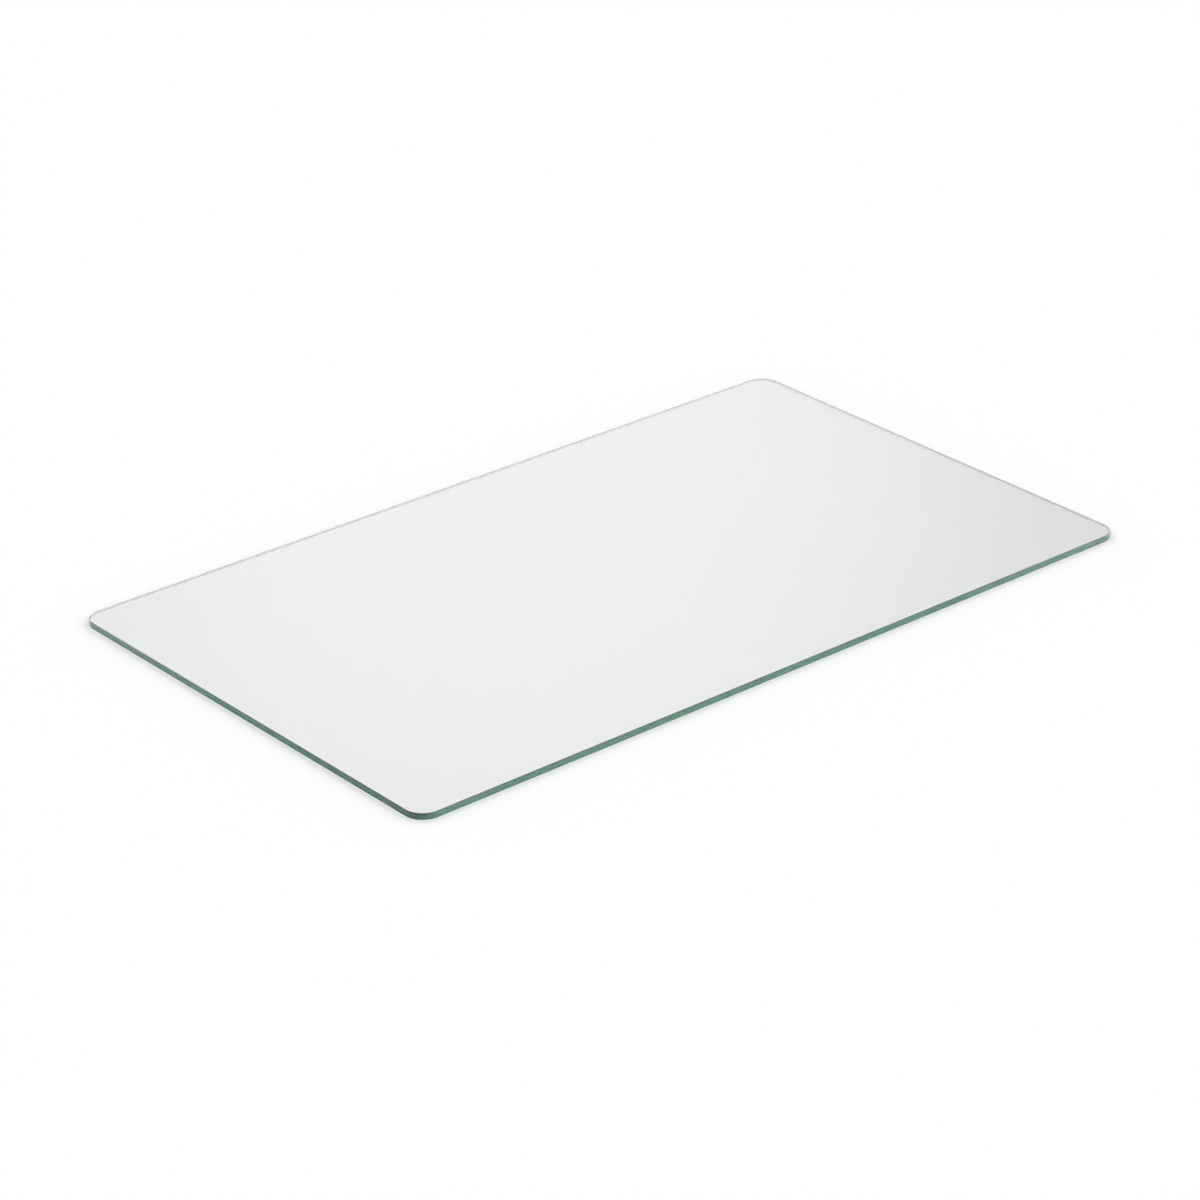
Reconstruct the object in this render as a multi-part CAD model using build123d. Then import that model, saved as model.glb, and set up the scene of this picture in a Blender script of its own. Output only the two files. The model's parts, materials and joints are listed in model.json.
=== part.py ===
from build123d import *
import os

# Refrigerator shelf: one sheet of toughened float glass with rounded corners and a flat-ground edge,
# whose two rims are taken off by a fine bevel, the arris.
# Millimetres. The origin is the centre of the underside. +X runs along the long front edge,
# +Y points to the back of the refrigerator and +Z points up.

# Driving dimensions
LENGTH = 510.0  # left to right, over the ground edge
DEPTH = 300.0  # front to back, over the ground edge
THICKNESS = 4.0  # of the sheet, face to face
CORNER_RADIUS = 12.0  # of the outline seen from above, over the ground edge
ARRIS = 0.4  # how far the bevel on each rim reaches in over the face and down the edge


def cut_sheet():
    """The sheet as cut: an outline with rounded corners, one thickness high."""
    outline = RectangleRounded(LENGTH, DEPTH, CORNER_RADIUS)
    return extrude(outline, THICKNESS)


def rims(sheet):
    """The two closed lines of the sheet: where its edge meets the underside, and where it meets the top."""
    faces = sheet.faces().sort_by(Axis.Z)
    underside, top = faces[0], faces[-1]
    return underside.edges() + top.edges()


def glass_shelf():
    """The whole shelf: the cut sheet, with an arris ground once around each rim.

    The arris follows the straight sides and the rounded corners without a break, and leaves a flat land
    between its two runs.
    """
    sheet = cut_sheet()
    return chamfer(rims(sheet), ARRIS)


os.makedirs("parts", exist_ok=True)
export_step(glass_shelf(), "parts/glass_shelf.step")
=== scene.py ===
"""A clear glass refrigerator shelf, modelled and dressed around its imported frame.

The shelf is one sheet of toughened float glass: two polished faces, rounded corners and a flat-ground edge
with a fine bevel on each rim. The edge shows the green of the iron in the glass.

Lengths are in metres, in the frame's own axes: +X along the long front edge, +Y to the back of the cabinet
and +Z up from the underside.
"""

import json
import logging
import math
from collections.abc import Callable
from dataclasses import dataclass
from enum import Enum

import bpy
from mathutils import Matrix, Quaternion, Vector

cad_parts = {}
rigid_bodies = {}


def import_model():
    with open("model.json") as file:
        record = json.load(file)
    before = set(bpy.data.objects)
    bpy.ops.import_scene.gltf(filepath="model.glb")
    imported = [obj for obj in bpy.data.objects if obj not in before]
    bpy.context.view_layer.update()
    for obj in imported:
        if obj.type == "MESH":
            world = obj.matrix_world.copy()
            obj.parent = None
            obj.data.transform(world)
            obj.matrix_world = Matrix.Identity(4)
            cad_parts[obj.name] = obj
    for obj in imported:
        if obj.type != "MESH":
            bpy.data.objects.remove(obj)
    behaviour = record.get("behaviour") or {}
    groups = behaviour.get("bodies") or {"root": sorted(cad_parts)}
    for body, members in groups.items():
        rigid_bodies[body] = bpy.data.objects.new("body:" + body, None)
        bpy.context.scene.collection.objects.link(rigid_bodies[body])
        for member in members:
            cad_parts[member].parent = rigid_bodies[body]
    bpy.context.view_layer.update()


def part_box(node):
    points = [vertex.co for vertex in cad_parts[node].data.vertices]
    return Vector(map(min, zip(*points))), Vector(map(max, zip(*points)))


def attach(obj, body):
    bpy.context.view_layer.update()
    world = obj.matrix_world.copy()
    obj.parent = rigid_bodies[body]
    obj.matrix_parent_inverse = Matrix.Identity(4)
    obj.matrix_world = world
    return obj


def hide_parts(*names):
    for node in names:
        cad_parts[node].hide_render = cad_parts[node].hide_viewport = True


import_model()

SHELF_NODE = "glass_shelf"
GLASS_SLOT = "clear_float_glass"
LIGHT_BOUNCES = 64

log = logging.getLogger("glass_shelf_scene")


class Affects(Enum):
    """What a bevel cuts back: the corners of an outline, or the edges between faces."""

    CORNERS = "VERTICES"
    EDGES = "EDGES"


def deselect_everything() -> None:
    """Leave no object selected or active, the frame's own nodes included."""
    for thing in bpy.context.view_layer.objects:
        thing.select_set(False)
    bpy.context.view_layer.objects.active = None


def start_edit() -> None:
    """Open the active piece for modelling, with all of it selected."""
    bpy.ops.object.mode_set(mode="EDIT")
    bpy.ops.mesh.select_all(action="SELECT")


def end_edit() -> None:
    """Close the active piece again."""
    bpy.ops.object.mode_set(mode="OBJECT")


def select_edges(piece: bpy.types.Object, wanted: Callable[[Vector, Vector], bool]) -> None:
    """Open a piece for modelling with only some of its edges selected.

    Args:
        piece: The active piece, in object mode.
        wanted: Says of an edge, by its two end points, whether it is selected.
    """
    bpy.ops.object.mode_set(mode="EDIT")
    bpy.ops.mesh.select_mode(type="EDGE")
    bpy.ops.mesh.select_all(action="DESELECT")
    bpy.ops.object.mode_set(mode="OBJECT")
    points = piece.data.vertices
    for edge in piece.data.edges:
        first, last = edge.vertices
        edge.select = wanted(points[first].co, points[last].co)
    bpy.ops.object.mode_set(mode="EDIT")


class NodeSketch:
    """A material's or the world's node tree, drawn node by node."""

    def __init__(self, tree: bpy.types.NodeTree) -> None:
        """Start from an empty tree.

        Args:
            tree: The node tree to draw in.
        """
        self.tree = tree
        tree.nodes.clear()

    def add(
        self,
        kind: str,
        inputs: dict[str | int, object] | None = None,
        **settings: object,
    ) -> bpy.types.Node:
        """Add a node, with plain values or links on its inputs.

        Args:
            kind: The node's type name.
            inputs: For each input, by name or number, a plain value or the output that feeds it.
            **settings: The node's own settings, such as its operation.

        Returns:
            The new node.
        """
        node = self.tree.nodes.new(kind)
        for name, value in settings.items():
            setattr(node, name, value)
        for name, value in (inputs or {}).items():
            if isinstance(value, bpy.types.NodeSocket):
                self.tree.links.new(value, node.inputs[name])
            else:
                node.inputs[name].default_value = value
        return node

    def math(self, operation: str, *values: object) -> bpy.types.NodeSocket:
        """Add a sum on plain numbers or outputs and return its output."""
        node = self.add("ShaderNodeMath", dict(enumerate(values)), operation=operation)
        return node.outputs["Value"]

    def blend(self, share: bpy.types.NodeSocket, first: object, last: object) -> bpy.types.NodeSocket:
        """Add a blend from one number or output to another and return its output."""
        node = self.add("ShaderNodeMix", {0: share, 2: first, 3: last}, data_type="FLOAT")
        return node.outputs[0]

    def tint(
        self,
        share: bpy.types.NodeSocket,
        first: tuple[float, float, float],
        last: tuple[float, float, float],
    ) -> bpy.types.NodeSocket:
        """Add a blend from one colour to another and return its output."""
        node = self.add("ShaderNodeMix", {0: share, 6: (*first, 1.0), 7: (*last, 1.0)}, data_type="RGBA")
        return node.outputs[2]

    def ease(
        self,
        value: bpy.types.NodeSocket,
        start: tuple[float, float],
        end: tuple[float, float],
    ) -> bpy.types.NodeSocket:
        """Add a smooth step between two pairs of (value in, value out).

        Args:
            value: The output that is eased.
            start: The value in and the value out where the step starts.
            end: The value in and the value out where the step ends.

        Returns:
            The eased output.
        """
        node = self.add(
            "ShaderNodeMapRange",
            {
                "Value": value,
                "From Min": start[0],
                "To Min": start[1],
                "From Max": end[0],
                "To Max": end[1],
            },
            interpolation_type="SMOOTHSTEP",
        )
        return node.outputs["Result"]


@dataclass(frozen=True)
class FloatGlass:
    """Clear float glass with polished faces and a satin ground edge.

    Attributes:
        name: The material's name.
        refraction: The glass's index of refraction.
        absorption: What the glass takes from red, green and blue light, per metre.
        face_colour: Of the fire-polished faces, and of the bevels beside them.
        edge_colour: Of the flat of the ground edge.
        face_roughness: Of the fire-polished faces.
        edge_roughness: Of the flat of the edge, between its finest and its coarsest lines.
        arris_roughness: Of the coarser bevels on its rims.
        edge_slope: The upright share of the normal below which a surface is the flat of the edge.
        arris_slope: The same, for the bevels on the rims.
        face_slope: The same, above which it is a polished face.
        lines_per_metre: How closely the wheel's lines lie across the edge.
        line_wander: How often, per metre, a line fades along the edge.
        line_detail: How many finer sets of lines lie over the first.
        line_grain: How strong each finer set is beside the one before it.
        line_heights: The heights, from 0 to 1, at which a line is finest and coarsest.
        line_depth: The depth of the wheel's lines.
    """

    name: str = GLASS_SLOT
    refraction: float = 1.52
    absorption: tuple[float, float, float] = (3.05, 1.87, 2.27)
    face_colour: tuple[float, float, float] = (1.0, 1.0, 1.0)
    edge_colour: tuple[float, float, float] = (0.43, 0.67, 0.55)
    face_roughness: float = 0.0
    edge_roughness: tuple[float, float] = (0.2, 0.3)
    arris_roughness: float = 0.75
    edge_slope: float = 0.3
    arris_slope: float = 0.7
    face_slope: float = 0.95
    lines_per_metre: float = 6000.0
    line_wander: float = 40.0
    line_detail: float = 3.0
    line_grain: float = 0.6
    line_heights: tuple[float, float] = (0.3, 0.7)
    line_depth: float = 0.000002

    def material(self) -> bpy.types.Material:
        """Make the material.

        Returns:
            The glass, with its absorption as a volume.
        """
        material = bpy.data.materials.new(self.name)
        material.use_nodes = True
        sketch = NodeSketch(material.node_tree)
        upright = self.upright_share(sketch)
        ground = sketch.ease(upright, (self.arris_slope, 1.0), (self.face_slope, 0.0))
        bevelled = sketch.ease(upright, (self.edge_slope, 0.0), (self.arris_slope, 1.0))
        colour = sketch.tint(bevelled, self.edge_colour, self.face_colour)
        lines = self.wheel_lines(sketch)
        finest, coarsest = zip(self.line_heights, self.edge_roughness)
        line_roughness = sketch.ease(lines, finest, coarsest)
        ground_roughness = sketch.blend(bevelled, line_roughness, self.arris_roughness)
        roughness = sketch.blend(ground, self.face_roughness, ground_roughness)
        relief = sketch.add(
            "ShaderNodeBump",
            {"Strength": ground, "Distance": self.line_depth, "Height": lines},
        )
        surface = sketch.add(
            "ShaderNodeBsdfPrincipled",
            {
                "Base Color": colour,
                "Roughness": roughness,
                "IOR": self.refraction,
                "Transmission Weight": 1.0,
                "Normal": relief.outputs["Normal"],
            },
        )
        most = max(self.absorption)
        left = tuple(1.0 - taken / most for taken in self.absorption)
        inside = sketch.add("ShaderNodeVolumeAbsorption", {"Color": (*left, 1.0), "Density": most})
        sketch.add(
            "ShaderNodeOutputMaterial",
            {"Surface": surface.outputs["BSDF"], "Volume": inside.outputs["Volume"]},
        )
        return material

    def upright_share(self, sketch: NodeSketch) -> bpy.types.NodeSocket:
        """Draw the upright share of the normal: 1 on the flat faces and 0 on the flat of the edge.

        Args:
            sketch: The material's node tree.

        Returns:
            The share.
        """
        geometry = sketch.add("ShaderNodeNewGeometry")
        normal = sketch.add("ShaderNodeSeparateXYZ", {0: geometry.outputs["Normal"]})
        return sketch.math("ABSOLUTE", normal.outputs["Z"])

    def wheel_lines(self, sketch: NodeSketch) -> bpy.types.NodeSocket:
        """Draw the fine lines that the grinding wheel leaves along the edge.

        Args:
            sketch: The material's node tree.

        Returns:
            The lines' height, from 0 to 1.
        """
        place = sketch.add("ShaderNodeTexCoord")
        along = sketch.add(
            "ShaderNodeMapping",
            {
                "Vector": place.outputs["Object"],
                "Scale": (self.line_wander, self.line_wander, self.lines_per_metre),
            },
        )
        noise = sketch.add(
            "ShaderNodeTexNoise",
            {
                "Vector": along.outputs["Vector"],
                "Scale": 1.0,
                "Detail": self.line_detail,
                "Roughness": self.line_grain,
            },
        )
        return noise.outputs["Fac"]


@dataclass
class GlassPane:
    """The pane: two flat faces and a flat-ground edge, with rounded corners and an arris on each rim.

    Attributes:
        length: Left to right, over the ground edge.
        depth: Front to back, over the ground edge.
        thickness: Face to face.
        corner_radius: Of the outline seen from above, over the ground edge.
        arris: How far the bevel on each rim reaches in over the face and down the edge.
        corner_steps: Facets round each corner.
        smooth_angle: The turn between facets, in degrees, up to which they are shaded as one surface.
    """

    length: float
    depth: float
    thickness: float
    corner_radius: float = 0.012
    arris: float = 0.0004
    corner_steps: int = 36
    smooth_angle: float = 30.0

    @classmethod
    def from_frame(cls, node: str) -> "GlassPane":
        """Take the pane's overall sizes from its node in the frame.

        Args:
            node: The node's name.

        Returns:
            A pane of that size.
        """
        low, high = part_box(node)
        length, depth, thickness = high - low
        return cls(length, depth, thickness)

    def build(self) -> bpy.types.Object:
        """Model the pane.

        Returns:
            The pane's object, at the origin.
        """
        pane = self.cut_outline()
        self.raise_sheet()
        self.grind_arrises(pane)
        bpy.ops.object.shade_smooth_by_angle(angle=math.radians(self.smooth_angle))
        return pane

    def cut_outline(self) -> bpy.types.Object:
        """Cut the outline with its rounded corners, at the height of the underside.

        Returns:
            The flat outline, open for modelling.
        """
        deselect_everything()
        bpy.ops.mesh.primitive_plane_add(size=1.0)
        pane = bpy.context.object
        pane.name = pane.data.name = "glass_pane"
        start_edit()
        bpy.ops.transform.resize(value=(self.length, self.depth, 1.0))
        bpy.ops.mesh.bevel(
            offset=self.corner_radius,
            segments=self.corner_steps,
            affect=Affects.CORNERS.value,
        )
        bpy.ops.mesh.select_all(action="SELECT")
        return pane

    def raise_sheet(self) -> None:
        """Raise the open outline to the sheet's thickness, as a closed block."""
        bpy.ops.mesh.extrude_region_move(TRANSFORM_OT_translate={"value": (0.0, 0.0, self.thickness)})
        bpy.ops.mesh.select_all(action="SELECT")
        bpy.ops.mesh.normals_make_consistent(inside=False)
        end_edit()

    def grind_arrises(self, pane: bpy.types.Object) -> None:
        """Take off the two rims, where the edge meets the faces.

        Args:
            pane: The closed block.
        """
        select_edges(pane, lambda first, last: abs(first.z - last.z) < self.thickness / 2)
        bpy.ops.mesh.bevel(offset=self.arris, segments=1, affect=Affects.EDGES.value)
        end_edit()

    def dress(self, pane: bpy.types.Object, finish: FloatGlass) -> None:
        """Give the pane its finish and its place in the frame.

        Args:
            pane: The modelled pane.
            finish: What it is made of.
        """
        pane.data.materials.append(finish.material())
        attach(pane, "root")
        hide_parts(SHELF_NODE)


@dataclass(frozen=True)
class FloorPaint:
    """Matt paint, white where it is seen and duller in the light that it throws back.

    Attributes:
        name: The material's name.
        tone: How white it is where it is seen, also through the glass or mirrored in it.
        thrown_back: The share of light that it throws back up at what lies on it.
    """

    name: str = "floor_paint"
    tone: float = 0.99
    thrown_back: float = 0.35

    def material(self) -> bpy.types.Material:
        """Make the material.

        Returns:
            The paint.
        """
        paint = bpy.data.materials.new(self.name)
        paint.use_nodes = True
        sketch = NodeSketch(paint.node_tree)
        path = sketch.add("ShaderNodeLightPath")
        lights_others = sketch.math("GREATER_THAN", path.outputs["Diffuse Depth"], 0.0)
        tone = sketch.blend(lights_others, self.tone, self.thrown_back)
        matt = sketch.add("ShaderNodeBsdfDiffuse", {"Color": tone})
        sketch.add("ShaderNodeOutputMaterial", {"Surface": matt.outputs["BSDF"]})
        return paint


@dataclass(frozen=True)
class DomePatch:
    """A round patch of other brightness on the dome, with a soft rim.

    Attributes:
        heading: Where its middle lies, in degrees from the back of the pane round to the right.
        height: How far its middle lies above the floor, in degrees.
        core: How far it reaches at full strength from its middle, in degrees.
        rim: How far it reaches until it has faded out, in degrees.
        light: Its brightness.
    """

    heading: float
    height: float
    core: float
    rim: float
    light: float

    def laid_over(
        self,
        sketch: NodeSketch,
        towards: bpy.types.NodeSocket,
        brightness: bpy.types.NodeSocket | float,
    ) -> bpy.types.NodeSocket:
        """Lay the patch over the dome's brightness.

        Args:
            sketch: The world's node tree.
            towards: The direction that is looked in.
            brightness: The dome's brightness in that direction without the patch.

        Returns:
            The brightness with the patch.
        """
        heading, height = math.radians(self.heading), math.radians(self.height)
        middle = (
            math.sin(heading) * math.cos(height),
            math.cos(heading) * math.cos(height),
            math.sin(height),
        )
        nearness = sketch.add("ShaderNodeVectorMath", {0: towards, 1: middle}, operation="DOT_PRODUCT")
        share = sketch.ease(
            nearness.outputs["Value"],
            (math.cos(math.radians(self.rim)), 0.0),
            (math.cos(math.radians(self.core)), 1.0),
        )
        return sketch.blend(share, brightness, self.light)


SOFTBOX_OVERHEAD = DomePatch(heading=0.0, height=90.0, core=30.0, rim=65.0, light=1.175)
GREY_CARD_LEFT = DomePatch(heading=-68.0, height=26.0, core=12.0, rim=28.0, light=0.3)
GREY_CARD_BEHIND = DomePatch(heading=41.0, height=26.0, core=13.0, rim=28.0, light=0.185)
GLOW_ON_CARD = DomePatch(heading=38.7, height=23.25, core=0.5, rim=9.05, light=0.85)


@dataclass
class Studio:
    """A wide, plain, pale floor under a soft white dome of light, with grey cards for the glass to mirror.

    Attributes:
        floor_gap: The air left between the floor and the pane's underside.
        floor_radius: Of the floor, which reaches out to the horizon.
        floor_sides: Facets round the floor.
        paint: The floor's finish.
        dome_light: The dome's brightness.
        patches: What hangs in front of the dome, from the outermost to the innermost.
    """

    floor_gap: float = 0.0003
    floor_radius: float = 40.0
    floor_sides: int = 96
    paint: FloorPaint = FloorPaint()
    dome_light: float = 1.0
    patches: tuple[DomePatch, ...] = (SOFTBOX_OVERHEAD, GREY_CARD_LEFT, GREY_CARD_BEHIND, GLOW_ON_CARD)

    def build(self) -> None:
        """Lay the floor and light it."""
        self.lay_floor()
        self.light_dome()

    def lay_floor(self) -> None:
        """Lay the floor, just clear of the pane."""
        deselect_everything()
        bpy.ops.mesh.primitive_circle_add(
            vertices=self.floor_sides,
            radius=self.floor_radius,
            fill_type="NGON",
            location=(0.0, 0.0, -self.floor_gap),
        )
        bpy.ops.object.transform_apply(location=True)
        floor = bpy.context.object
        floor.name = floor.data.name = "studio_floor"
        floor.data.materials.append(self.paint.material())

    def light_dome(self) -> None:
        """Light the studio from a white dome with its patches."""
        dome = bpy.data.worlds.new("studio_dome")
        dome.use_nodes = True
        bpy.context.scene.world = dome
        sketch = NodeSketch(dome.node_tree)
        place = sketch.add("ShaderNodeTexCoord")
        brightness: bpy.types.NodeSocket | float = self.dome_light
        for patch in self.patches:
            brightness = patch.laid_over(sketch, place.outputs["Generated"], brightness)
        light = sketch.add("ShaderNodeBackground", {"Color": (1.0, 1.0, 1.0, 1.0), "Strength": brightness})
        sketch.add("ShaderNodeOutputWorld", {"Surface": light.outputs["Background"]})


@dataclass
class PhotoCamera:
    """The camera, where the photograph was taken from.

    Attributes:
        target_z: The height of the point that the picture is centred on.
        target_x: How far that point lies to the right of the pane's middle.
        target_y: How far it lies behind the pane's middle.
        azimuth: How far the camera stands round from the front, in degrees; below 0 is to the left.
        elevation: How far it looks down, in degrees.
        distance: From the camera to the target.
        roll: How far the camera leans, in degrees.
        lens: Its focal length in millimetres, on a sensor 36 mm wide.
    """

    target_z: float
    target_x: float = -0.02706
    target_y: float = -0.02267
    azimuth: float = -40.492
    elevation: float = 26.322
    distance: float = 2.262
    roll: float = 0.299
    lens: float = 122.687

    def build(self) -> bpy.types.Object:
        """Set up the camera and make it the scene's own.

        Returns:
            The camera.
        """
        round_from_front = math.radians(self.azimuth)
        down = math.radians(self.elevation)
        back = Vector(
            (
                math.sin(round_from_front) * math.cos(down),
                -math.cos(round_from_front) * math.cos(down),
                math.sin(down),
            )
        )
        camera = bpy.data.objects.new("photo_camera", bpy.data.cameras.new("photo_camera"))
        bpy.context.scene.collection.objects.link(camera)
        camera.data.lens = self.lens
        camera.location = Vector((self.target_x, self.target_y, self.target_z)) + back * self.distance
        level = (-back).to_track_quat("-Z", "Y")
        lean = Quaternion((0.0, 0.0, 1.0), math.radians(-self.roll))
        camera.rotation_mode = "QUATERNION"
        camera.rotation_quaternion = level @ lean
        bpy.context.scene.camera = camera
        return camera


def set_up_rendering() -> None:
    """Show colours as they are written, and let light cross the glass as often as it needs to."""
    scene = bpy.context.scene
    scene.view_settings.view_transform = "Standard"
    scene.cycles.max_bounces = LIGHT_BOUNCES
    scene.cycles.glossy_bounces = LIGHT_BOUNCES
    scene.cycles.transmission_bounces = LIGHT_BOUNCES
    scene.cycles.blur_glossy = 0.0


def main() -> None:
    """Model and dress the shelf, then set up the studio and the camera."""
    logging.basicConfig(level=logging.INFO, format="%(message)s")
    set_up_rendering()

    shelf = GlassPane.from_frame(SHELF_NODE)
    pane = shelf.build()
    shelf.dress(pane, FloatGlass())
    log.info("%s: %d faces", pane.name, len(pane.data.polygons))

    Studio().build()
    log.info("studio: floor and dome")

    camera = PhotoCamera(target_z=shelf.thickness).build()
    log.info("%s: lens %.1f mm", camera.name, camera.data.lens)


if __name__ == "__main__":
    main()
